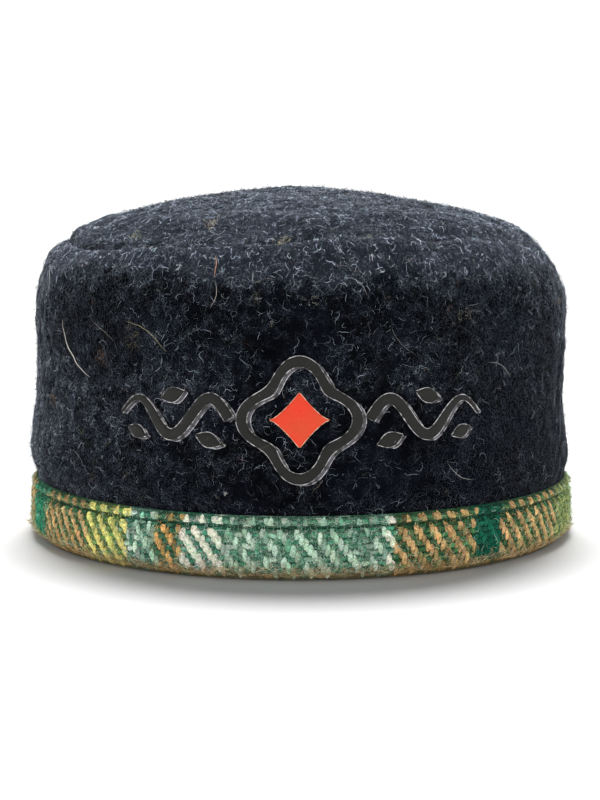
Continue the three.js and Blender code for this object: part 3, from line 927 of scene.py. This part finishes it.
def yarn_colours(rng, x, height, part):
    """Colours and pale shares of yarn floats at x, at a height; part is 0 for warp and 1 for weft."""
    count = len(x)
    stripe = stripe_of(x + rng.normal(0, 0.4, count))
    colours, pale = (np.array([YARNS[name][column] for name, _ in STRIPES])[stripe]
                     for column in (part, 2 + part))
    mixed = is_named(stripe, "heather", "teal") & (rng.random(count) < (0.9, 0.2)[part])
    green, mint = np.array([0.035, 0.22, 0.13]), np.array([0.76, 0.95, 0.78])
    colours[mixed] = lerp(green, mint, smooth(rng.random((mixed.sum(), 1)), 0.0, 1.0))
    uneven = np.where(colours.min(axis=1) > 0.7, 0.04, 0.30)
    colours *= np.exp(rng.normal(0, 1, count) * uneven)[:, None]
    colours *= rng.uniform(0.95, 1.05, colours.shape)
    to_edge = (1 - smooth(height + rng.normal(0, 0.5, count), 1.6, 4.0)) * rng.uniform(0.55, 1.0, count)
    colours = lerp(colours, np.array(LOWER_EDGE) * rng.uniform(0.5, 1.5, (count, 1)), to_edge[:, None])
    colours *= np.minimum(1, 0.95 / colours.max(axis=1, keepdims=True))
    return np.maximum(colours, 0.003), pale * (1 - 0.6 * to_edge)


def float_points(rng, at, x, along, half, lean, sides, rings):
    """Plump lengths of yarn, each tapering into the cloth at both ends. half holds their half lengths,
    half widths and heights, and lean the angle between their length and the way up the leg."""
    half_length, half_width, rise = (size[:, None, None] for size in half)
    count = len(x)
    where = np.sin(np.linspace(-1, 1, rings) * math.pi / 2 * 0.86)[None, :, None]
    around = (np.arange(sides) / sides * TURN)[None, None, :]
    profile = (1 - np.abs(where) ** 2.6) ** 0.5
    body = (where * half_length, profile * half_width * np.cos(around),
            -YARN_DEPTH * 0.75 + rise * ((1 - where ** 2) * 0.75 + profile * np.sin(around) * 0.62))
    out, off, lift = (values.reshape(count, -1) for values in np.broadcast_arrays(*body))
    tip = out[:, [0, -1]] * 1.12
    out, off, lift = (np.concatenate(pair, axis=1) for pair in (
        (out, tip), (off, 0 * tip), (lift, 0 * tip - YARN_DEPTH * 1.3)))
    rough = rng.normal(0, 0.035, (3, *out.shape))
    sin, cos = np.sin(lean)[:, None], np.cos(lean)[:, None]
    xs = x[:, None] + out * sin + off * cos + rough[0]
    alongs = along[:, None] + out * cos - off * sin + rough[1]
    return at(xs, alongs, lift + rough[2])


def float_piece(name, points, sides, rings, facing, colours, material):
    count, vertices = points.shape[:2]
    one = bar_triangles(rings, sides)[:, ::facing]
    triangles = (one[None] + (np.arange(count) * vertices)[:, None, None]).reshape(-1, 3)
    colours = np.repeat(colours, vertices, axis=0)
    make_piece(name, points.reshape(-1, 3), triangles, material, colours)


FLOATS = [  # each kind, its middle in warps and picks, half its length and width, and its height
    ("warp", (0.5, 1.0), (PICK * 1.10, WARP_PITCH * 0.66, YARN_DEPTH * 1.6)),
    ("weft", (0.0, 0.5), (WARP_PITCH * 1.20, PICK * 0.46, YARN_DEPTH * 1.25)),
]
PLUMP = 1.22  # the white and yellow warp yarns are this much wider
FOLD_SHIFT = 1.6  # above the groove the stripes lie this much further round


def weave_leg(name, rng, corners, facing, sides, rings, material):
    """The warp and weft floats of a two-and-two twill on one leg of the binding."""
    at, reach = leg_cloth(corners, facing)
    picks = np.arange(int(reach / PICK) + 1)
    warp, pick = (grid.ravel() for grid in np.meshgrid(np.arange(WARPS), picks, indexing="ij"))
    for part, (kind, middle, sizes) in enumerate(FLOATS):
        start = (pick - warp) % 4 == 2 * part
        count = start.sum()
        x = (warp[start] + middle[0]) * WARP_PITCH + rng.normal(0, 0.09, count)
        along = (pick[start] + middle[1]) * PICK + rng.normal(0, 0.12, count)
        half = [size * rng.uniform(0.88, 1.12, count) for size in sizes]
        lean = rng.normal(0.0, 0.10, count) + part * math.pi / 2
        height = at(x, along, 0 * x)[:, 2]
        kept = along < reach - 0.3
        if kind == "warp":
            half[1] *= np.where(is_named(stripe_of(x), "white", "yellow"), PLUMP, 1.0)
            kept &= np.abs(height - GROOVE_HEIGHT) > GROOVE_WIDTH
        x, along, lean, height, *half = (values[kept] for values in (x, along, lean, height, *half))
        groove = bump(height - GROOVE_HEIGHT, GROOVE_WIDTH)
        sunk = 1 - 0.35 * groove
        half = [half[0] * lerp(1, sunk, 0.6), half[1], half[2] * sunk]
        shift = np.where(height > GROOVE_HEIGHT, FOLD_SHIFT, 0.0)
        colours, pale = yarn_colours(rng, x - shift, height, part)
        # painted shade: darker in the sewn groove, and along the top of the ridge under the wool's edge
        colours *= ((1 - 0.5 * groove) * (1 - 0.75 * smooth(height, 19.1, 19.8)))[:, None]
        fewer = 1 if kind == "weft" and rings > 3 else 0
        shape = sides - fewer, rings - fewer
        points = float_points(rng, at, x, along, half, lean, *shape)
        float_piece(f"{name}_{kind}", points, *shape, facing, np.column_stack([colours, pale]), material)
    return at, reach


def tweed_ground(material):
    """The binding's cloth under its yarns."""
    section = rounded(OUTER_LEG + HIDDEN_LEG[::-1] + INNER_LEG, rounds=2, closed=True)
    slope = unit(np.roll(section, -1, axis=0) - np.roll(section, 1, axis=0))
    inset = section[:, 0] + slope[:, 1] * YARN_DEPTH * 0.8
    height = np.maximum(section[:, 1] + slope[:, 0] * YARN_DEPTH * 0.8, 0.02)
    columns = WARPS // 2
    azimuth = columns_round(columns)[:, None]
    points, triangles = bar(place(azimuth, inset[None, :], height[None, :]), endless=True)
    x, height = np.repeat(azimuth[:, 0] * HALF_WIDTH, len(section)), np.tile(height, columns)
    colours, pale = yarn_colours(np.random.default_rng(41), x, height, 1)
    groove = bump(height - GROOVE_HEIGHT, 0.7)
    # the ground is darkened to under half its yarn colours, and further in the groove as painted shade
    colours = np.column_stack([colours * (0.45 - 0.25 * groove)[:, None], pale * 0.6 * (1 - groove)])
    make_piece("binding_ground", points, triangles, material, colours, "rim_binding")


STITCH_PITCH = 3.1
STITCH_HALF = (1.05, 0.22, 0.55)  # half the length and width of a stitch, and its height
THREAD = np.array([[0.035, 0.055, 0.028, 0.1]])  # the thread's colour and its share of pale hairs
PALE_HAIR = np.array([0.68, 0.90, 0.68])
TAN = np.array([0.72, 0.50, 0.24])
FRAYED_TAN = np.array([0.95, 0.76, 0.48])
FUZZ_HAIRS = 16500
EDGE_HAIRS = 3200
TWEED_FIBRE = dict(PALE_FIBRE, length=(1.0, 3.8), curl=2.4, lift=0.7, free=0.25, width=(0.07, 0.15))
EDGE_FIBRE = dict(TWEED_FIBRE, length=(1.5, 6.0), lift=2.2, free=0.8, width=(0.09, 0.20))


def stitches(rng, at, reach, material):
    """The sewing thread that sinks into the groove under the binding's upper edge."""
    count = int(CIRCUMFERENCE / STITCH_PITCH)
    x = np.arange(count) / count * CIRCUMFERENCE + rng.normal(0, 0.15, count)
    line = np.linspace(0, reach, 400)
    in_groove = line[np.argmin(np.abs(at(0 * line, line, 0 * line)[:, 2] - GROOVE_HEIGHT))]
    along = in_groove + rng.normal(0, 0.12, count)
    half = [np.full(count, size) for size in STITCH_HALF]
    lean = math.pi / 2 + rng.normal(0, 0.08, count)
    points = float_points(rng, at, x, along, half, lean, 6, 4)
    colours = THREAD * rng.uniform(0.5, 1.4, (count, 1))
    float_piece("binding_stitches", points, 6, 4, -1, colours, material)


def tweed_fuzz(name, rng, at, part_of_leg, count, look, material):
    """Short hairs that stand out of the tweed, of its own colours and of white."""
    x = rng.uniform(0, CIRCUMFERENCE, count)
    along = rng.uniform(*part_of_leg, count)

    def on_leg(xs, alongs):
        points, lifted = (at(xs, alongs, 0 * xs + lift * YARN_DEPTH) for lift in (1.2, 2.2))
        return points, unit(lifted - points + 1e-9)

    height = at(x, along, 0 * x)[:, 2]
    colours, pale = yarn_colours(rng, x, height, 0)
    white = (rng.random(count) < 0.06 + 0.75 * pale) & (height > 3)
    woven_under, _ = yarn_colours(rng, x, height, 1)
    from_weft = rng.random(count) < np.where(colours.min(axis=1) > 0.5, 0.15, 0.45)
    colours[from_weft] = 1.7 * woven_under[from_weft]
    colours *= rng.uniform(0.35, 2.0, (count, 1))
    recolour(rng, colours, white, PALE_HAIR, 0.4, 1.15)
    warm = (rng.random(count) < 0.6) & (height < 4)
    recolour(rng, colours, warm, FRAYED_TAN if look is EDGE_FIBRE else TAN, 0.3, 1.2)
    fibre_piece(name, rng, on_leg, (x, along), look, np.clip(colours, 0, 0.9), material)


# The applied ornament

QUATREFOIL = {"radius": 15.5, "lobe": 2.6, "steps": 132}
DIAMOND = {"half_width": 9.2, "half_height": 8.6, "steps": 48, "hollow": 1.35}
VINE = {"start": 22, "end": 61, "wave": 26, "swing": 6.4, "steps": 110, "tip_share": 0.35}
LEAVES = [
    {"name": "inner", "along": 28.5, "rise": -6.6, "lean": 18, "length": 9, "width": 4.6},
    {"name": "middle", "along": 41.5, "rise": 6.6, "lean": -18, "length": 9, "width": 4.6},
    {"name": "outer", "along": 54, "rise": -5.4, "lean": 18, "length": 8, "width": 4.0},
]
TIP = 0.25
PLATE_TOP = GAP + MOTIF_THICKNESS
# A plate's rounded rim: distances in from its edge, and lifts out of the side's face
PLATE_EDGE = [(0.0, 0.12), (0.0, 0.62), (0.07, 0.86), (0.24, 1.02), (0.6, PLATE_TOP)]
BEAD = 0.15  # half the width of the pale bead along a plate's edge
BEAD_LIFT = 0.76
CREAM_BEAD_LIFT = 0.78
BEAD_SIDES = 5
BEAD_STEP = 0.7
ECHO_WAY = np.array([0.93, -0.37])  # the pale echo of each outline lies to its right and a little down
ECHO_REACH = 1.25
ECHO_SECTION = [(0, 0.1), (0, 0.5), (1, 0.42), (1, 0.1)]  # 0 at the outline and 1 at the echo, and lifts
ECHO_BEAD = 0.12
ECHO_BEAD_LIFT = 0.45
SHORTEST_ECHO = 6


def quatrefoil():
    turn = np.linspace(0, TURN, QUATREFOIL["steps"], endpoint=False)
    radius = QUATREFOIL["radius"] + QUATREFOIL["lobe"] * np.cos(4 * turn)
    ways = np.stack([np.cos(turn), np.sin(turn)], axis=1)
    return [np.array([0, MOTIF_HEIGHT]) + ways * (radius + off)[:, None] for off in (STROKE / 2, -STROKE / 2)]


def diamond():
    across = np.linspace(-1, 1, DIAMOND["steps"])
    half = np.maximum(TIP, DIAMOND["half_height"] * (1 - np.abs(across)) ** DIAMOND["hollow"])
    return [np.stack([across * DIAMOND["half_width"], MOTIF_HEIGHT + rise], axis=1) for rise in (half, -half)]


def vine(hand):
    part = np.linspace(0, 1, VINE["steps"])
    along = lerp(VINE["start"], VINE["end"], part)
    turn = (along - VINE["start"]) / VINE["wave"] * TURN
    fade = lerp(1, 0.75, part)
    slope = VINE["swing"] * fade * TURN * np.cos(turn) / VINE["wave"]
    half = STROKE / 2 * lerp(1, VINE["tip_share"], smooth(part, 0.55, 1))
    lean = np.hypot(1, slope)
    middle = MOTIF_HEIGHT + VINE["swing"] * fade * np.sin(turn)
    return [np.stack([hand * (along - sign * slope / lean * half), middle + sign * half / lean], axis=1)
            for sign in (1, -1)]


def leaf(look, hand):
    part = np.linspace(0, 1, 36)
    lean = math.radians(look["lean"])
    out = (part - 0.5) * look["length"]
    half = np.maximum(TIP, look["width"] / 2 * np.sin(math.pi * part))
    return [np.stack([hand * (look["along"] + out * math.cos(lean) - off * math.sin(lean)),
                      MOTIF_HEIGHT + look["rise"] + out * math.sin(lean) + off * math.cos(lean)], axis=1)
            for off in (half, -half)]


def on_side(points, lift):
    """Places (distance round from the front's middle, height) on the side's face, lifted out of it."""
    azimuth, height = points[..., 0] / HALF_WIDTH, points[..., 1]
    return place(azimuth, side_inset(azimuth, height) - lift, height)


def ornament_piece(name, parts, material, replaced=None):
    """A piece made of parts, pairs of points and triangles, whose faces are then turned outwards."""
    counts = np.cumsum([0] + [len(points) for points, _ in parts])
    points = np.concatenate([points for points, _ in parts])
    triangles = np.concatenate([triangles + count for (_, triangles), count in zip(parts, counts)])
    mesh = make_piece(name, points, triangles, material, replaced=replaced).data
    work = bmesh.new()
    work.from_mesh(mesh)
    bmesh.ops.recalc_face_normals(work, faces=work.faces)
    work.to_mesh(mesh)
    work.free()


def plate(edges, endless):
    """A thin plate between two edges, with rounded rims and a very slightly crowned face."""
    near, far = edges
    width = np.linalg.norm(far - near, axis=1, keepdims=True)
    across = (far - near) / width
    up = [(near, across, *step) for step in PLATE_EDGE]
    down = [(far, -across, *step) for step in PLATE_EDGE[::-1]]
    rows = [on_side(edge + way * np.minimum(inward, width * 0.45), lift)
            for edge, way, inward, lift in up + down]
    return bar(np.stack(rows, axis=1), endless)


def outlines(edges, endless):
    """The closed outlines of a plate: two for a ring, one for any other."""
    near, far = edges
    return [near, far[::-1]] if endless else [np.concatenate([near, far[::-1]])]


def even_loop(loop):
    closed = np.concatenate([loop, loop[:1]])
    return cut_evenly(closed, max(12, int(reach_along(closed)[-1] / BEAD_STEP)), endpoint=False)


def sideways(path, closed):
    """At each point of a path, the direction to the right of the way along it."""
    way = np.roll(path, -1, axis=0) - np.roll(path, 1, axis=0) if closed else np.gradient(path, axis=0)
    return unit(np.stack([way[:, 1], -way[:, 0]], axis=1))


def tube(rng, path, lift, radius, closed):
    """A thin bead along a path on the side, a little uneven in width."""
    across = sideways(path, closed)
    sizes = radius * rng.uniform(0.45, 1.3, len(path))
    if not closed:
        sizes = sizes * np.clip(np.sin(np.linspace(0, math.pi, len(path))) * 3, 0.2, 1)
    rows = [on_side(path + across * (sizes * math.cos(turn))[:, None], lift + sizes * math.sin(turn))
            for turn in columns_round(BEAD_SIDES)]
    return bar(np.stack(rows, axis=1), closed)


def outward(loop):
    normal = sideways(loop, closed=True)
    area = np.sum(loop[:, 0] * np.roll(loop[:, 1], -1) - np.roll(loop[:, 0], -1) * loop[:, 1])
    return normal if area > 0 else -normal


def echo_parts(rng, loop, facing):
    """A narrow grey step and its pale outer line beside the right-hand edges of an outline."""
    share = smooth(facing @ ECHO_WAY, 0.15, 0.6)
    shown = share > 0.02
    if shown.all() or not shown.any():
        return [], []
    order = np.roll(np.arange(len(loop)), -np.flatnonzero(~shown)[0])
    runs = np.split(order, np.flatnonzero(np.diff(shown[order].astype(int))) + 1)
    steps, lines = [], []
    for run in runs:
        if not shown[run[0]] or len(run) < SHORTEST_ECHO:
            continue
        base = loop[run]
        edge = base + ECHO_WAY * ECHO_REACH * share[run][:, None]
        rows = [on_side((base, edge)[outer], lift) for outer, lift in ECHO_SECTION]
        points = np.stack(rows, axis=1).reshape(-1, 3)
        last = len(points) - 4
        caps = np.array([[0, 1, 2], [0, 2, 3], [last, last + 2, last + 1], [last, last + 3, last + 2]])
        steps.append((points, np.concatenate([grid_triangles(len(run), 4, endless=False), caps])))
        lines.append(tube(rng, edge, ECHO_BEAD_LIFT, ECHO_BEAD, closed=False))
    return steps, lines


def inside(points, loop):
    """Whether each point lies inside a loop, counted even and odd."""
    count = np.zeros(len(points), int)
    for (x0, y0), (x1, y1) in zip(loop, np.roll(loop, -1, axis=0)):
        crosses = (y0 > points[:, 1]) != (y1 > points[:, 1])
        at = x0 + (points[:, 1] - y0) * (x1 - x0) / (y1 - y0 + 1e-12)
        count += crosses & (points[:, 0] < at)
    return count % 2 == 1


MASK_CELL = 0.5
MASK_LOW = np.array([-66.0, 28.0])
MASK_HIGH = np.array([66.0, 72.0])
MASK_SHIFTS = ((0.0, 0.0), (0.7, -0.3), (-0.5, 0.0), (0.0, 0.5))


def ornament_cover(shapes):
    """A function that says whether a place on the side lies under the ornament."""
    cells = ((MASK_HIGH - MASK_LOW) / MASK_CELL).astype(int)
    centres = MASK_LOW + (np.indices(cells).reshape(2, -1).T + 0.5) * MASK_CELL
    mask = np.zeros(len(centres), bool)
    for shape, shift in product(shapes, MASK_SHIFTS):
        loops = [inside(centres - np.array(shift), loop[::3]) for loop in outlines(*shape)]
        mask |= np.logical_xor.reduce(loops)
    mask = mask.reshape(cells)

    def covered(x, height):
        cell = np.floor((np.stack([x, height], axis=-1) - MASK_LOW) / MASK_CELL).astype(int)
        within = ((cell >= 0) & (cell < cells)).all(axis=-1)
        safe = np.clip(cell, 0, cells - 1)
        return within & mask[safe[..., 0], safe[..., 1]]

    return covered


def ornament():
    """All of the ornament's pieces. Returns a function that says which places it covers."""
    black, orange = black_material(), orange_material()
    silver = edging_material("silver_edging", (0.05, 0.05, 0.05, 1), (0.72, 0.70, 0.72, 1))
    cream = edging_material("cream_edging", (0.50, 0.22, 0.12, 1), (0.86, 0.62, 0.46, 1))
    grey = edging_material("grey_step", (0.012, 0.012, 0.015, 1), (0.10, 0.095, 0.115, 1))
    rng = np.random.default_rng(51)
    plan = {"ring": (quatrefoil(), True)}
    for side, hand in (("left", -1), ("right", 1)):
        plan[f"vine_{side}"] = vine(hand), False
        for look in LEAVES:
            plan[f"leaf_{side}_{look['name']}"] = leaf(look, hand), False
    beads, steps = [], []
    for name, shape in plan.items():
        ornament_piece(f"ornament_{name}", [plate(*shape)], black, f"motif_{name}")
        for outline, hand in zip(outlines(*shape), (1, -1)):
            loop = even_loop(outline)
            beads.append(tube(rng, loop, BEAD_LIFT, BEAD, closed=True))
            more_steps, lines = echo_parts(rng, loop, outward(loop) * hand)
            steps += more_steps
            beads += lines
    ornament_piece("ornament_silver_edging", beads, silver)
    ornament_piece("ornament_grey_step", steps, grey)
    shape = diamond(), False
    ornament_piece("ornament_diamond", [plate(*shape)], orange, "motif_diamond")
    rim = [tube(rng, even_loop(outline), CREAM_BEAD_LIFT, BEAD, closed=True) for outline in outlines(*shape)]
    ornament_piece("ornament_cream_edging", rim, cream)
    return ornament_cover([*plan.values(), shape])


# The stage, the light and the camera

CAMERA_DISTANCE = 0.850
CAMERA_PITCH = math.radians(6.5)
CAMERA_TARGET = Vector((0, 0, 0.050))
PHOTO_WIDTH, PHOTO_HEIGHT = 600, 800
PIXELS_PER_METRE_AT_TARGET = 2888
TARGET_COLUMN, TARGET_ROW = 299.5, 383.8  # where the photograph shows the target
SUN_WAY = (0.0, -0.40, -0.917)
SUN_STRENGTH = 5.55
SUN_WIDTH = 24  # how wide the light looks from the cap, in degrees
SKY_STRENGTH = 2.75
FLOOR_HEIGHT = -0.0003
FLOOR_REACH = 60.0


def make_camera():
    camera = bpy.data.cameras.new("camera")
    camera.sensor_width = 36
    camera.lens = PIXELS_PER_METRE_AT_TARGET * CAMERA_DISTANCE * camera.sensor_width / PHOTO_HEIGHT
    camera.shift_x = (PHOTO_WIDTH / 2 - TARGET_COLUMN) / PHOTO_HEIGHT
    camera.shift_y = (TARGET_ROW - PHOTO_HEIGHT / 2) / PHOTO_HEIGHT
    camera.clip_start, camera.clip_end = 0.01, 100
    back = Vector((0, -math.cos(CAMERA_PITCH), math.sin(CAMERA_PITCH)))
    item = put_in_scene("camera", camera, -back)
    item.location = CAMERA_TARGET + back * CAMERA_DISTANCE
    bpy.context.scene.camera = item


def make_light():
    """A soft light from above and behind, and a sky that is white all round and greyer overhead."""
    light = bpy.data.lights.new("light_above_behind", "SUN")
    light.energy = SUN_STRENGTH
    light.angle = math.radians(SUN_WIDTH)
    put_in_scene("light_above_behind", light, SUN_WAY)
    world = bpy.data.worlds.new("studio")
    world.use_nodes = True
    tree = world.node_tree
    way = node(tree, "TexCoord").outputs["Generated"]
    upward = node(tree, "SeparateXYZ", {"Vector": way}).outputs["Z"]
    background = tree.nodes["Background"].inputs
    colour = mix(tree, ramp(tree, upward, 0.2, 0.45), (1, 1, 1, 1), (0.065, 0.065, 0.065, 1))
    fill(tree, background["Color"], colour)
    fill(tree, background["Strength"], SKY_STRENGTH)
    bpy.context.scene.world = world


def make_floor():
    mesh = bpy.data.meshes.new("floor")
    signs = [(-1, -1), (1, -1), (1, 1), (-1, 1)]
    corners = [(x * FLOOR_REACH, y * FLOOR_REACH, FLOOR_HEIGHT) for x, y in signs]
    mesh.from_pydata(corners, [], [(0, 1, 2, 3)])
    material, tree = new_material("pale_floor")
    cloudy = noise_value(tree, object_place(tree), 3)
    colour = mix(tree, ramp(tree, cloudy, 0.3, 0.7), (0.61, 0.61, 0.61, 1), (0.63, 0.63, 0.63, 1))
    mesh.materials.append(finished(material, colour, None, Roughness=0.9, Specular_IOR_Level=0.0))
    put_in_scene("floor", mesh)


def main():
    bpy.context.scene.view_settings.view_transform = "Standard"
    make_camera()
    make_floor()
    make_light()
    covered = ornament()
    wool, wool_fibre = wool_material(), fibre_material("wool_fibre", 0.6)
    wool_fibres(wool_side(wool), wool_top(wool), covered, wool_fibre)
    yarn, tweed_fibre = yarn_material(), fibre_material("tweed_fibre", 0.7)
    tweed_ground(yarn)
    rng = np.random.default_rng(61)
    at, reach = weave_leg("binding_outer", rng, OUTER_LEG[::-1], facing=-1, sides=6, rings=5, material=yarn)
    weave_leg("binding_inner", rng, INNER_LEG, facing=1, sides=4, rings=3, material=yarn)
    stitches(rng, at, reach, yarn)
    tweed_fuzz("binding_fuzz", rng, at, (0.4, reach), FUZZ_HAIRS, TWEED_FIBRE, tweed_fibre)
    tweed_fuzz("binding_edge_fuzz", rng, at, (reach - 5.5, reach - 1), EDGE_HAIRS, EDGE_FIBRE, tweed_fibre)


main()
